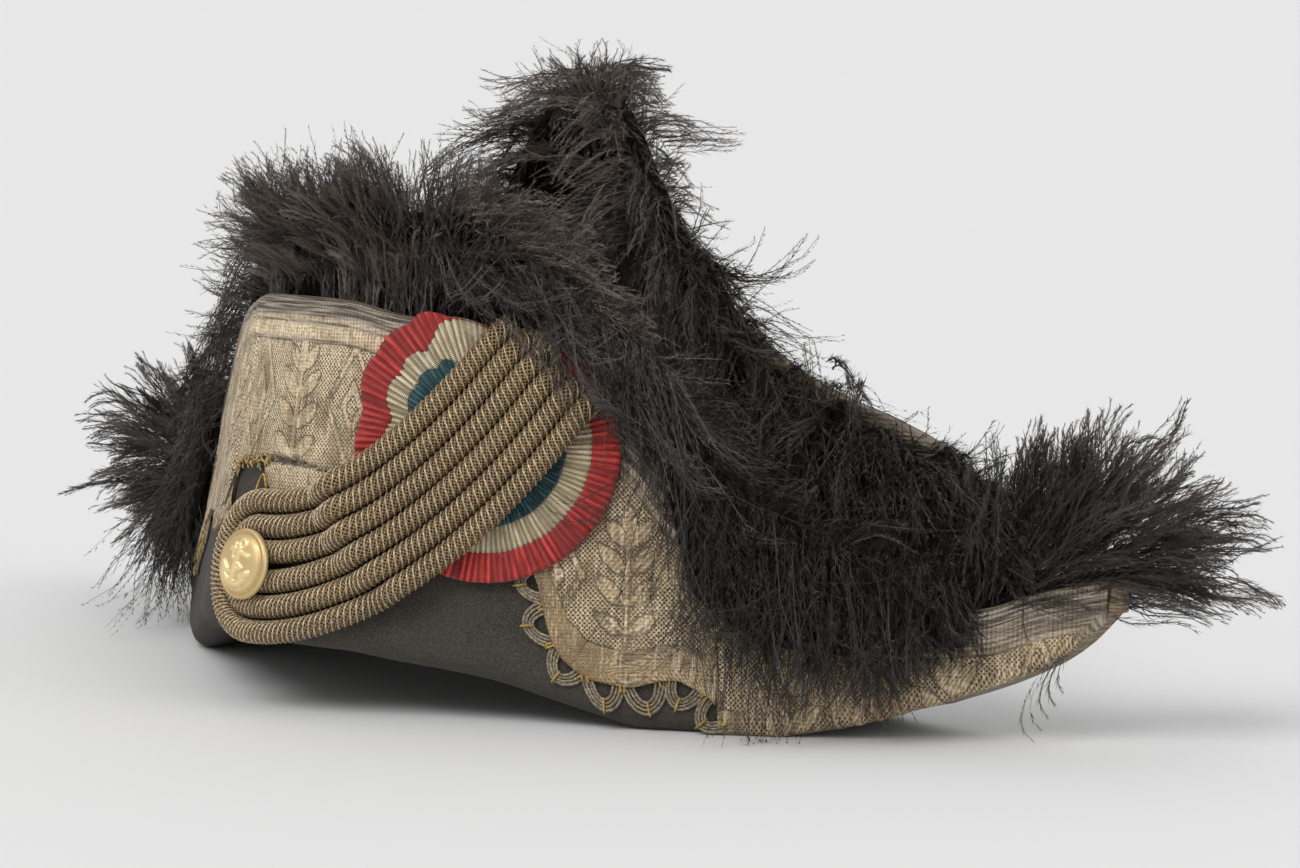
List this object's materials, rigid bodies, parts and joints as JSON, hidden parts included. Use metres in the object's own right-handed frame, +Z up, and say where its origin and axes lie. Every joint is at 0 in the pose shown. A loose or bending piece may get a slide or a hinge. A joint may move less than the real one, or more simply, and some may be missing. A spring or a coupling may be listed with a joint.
{
  "type": "bicorne hat",
  "caption": "Felt bicorne with turned-up flaps, gold lace, a tricolour cockade, looped bullion cords, a domed button and ostrich feather trim.",
  "frame": {"origin": "on the floor under the middle of the hat's bounding box", "axes": "+X along the hat to the front horn, the decorated flap faces -Y, +Z up"},
  "size_m": [0.5228, 0.184, 0.2003],
  "materials": {
    "felt": "matt napped beaver felt with pale lint",
    "lace": "tarnished gold wire lace with a satin figure on a net ground",
    "ribbon_red": "pleated silk ribbon",
    "ribbon_cream": "pleated silk ribbon",
    "ribbon_blue": "pleated silk ribbon, faded",
    "bullion": "tarnished gold bullion wire coiled over a core",
    "gilt_brass": "stamped gilt brass, lightly worn",
    "feather": "black-brown ostrich feather barbs"
  },
  "bodies": {
    "root": {"felt_body": "felt", "lace": "lace", "cockade_red": "ribbon_red", "cockade_cream": "ribbon_cream", "cockade_blue": "ribbon_blue", "ganse_inner": "bullion", "ganse_middle": "bullion", "ganse_outer": "bullion", "button": "gilt_brass", "plume_near_front": "feather", "plume_near_rear": "feather", "plume_far_front": "feather", "plume_far_rear": "feather", "tuft_front": "feather", "tuft_rear": "feather"}
  },
  "joints": []
}
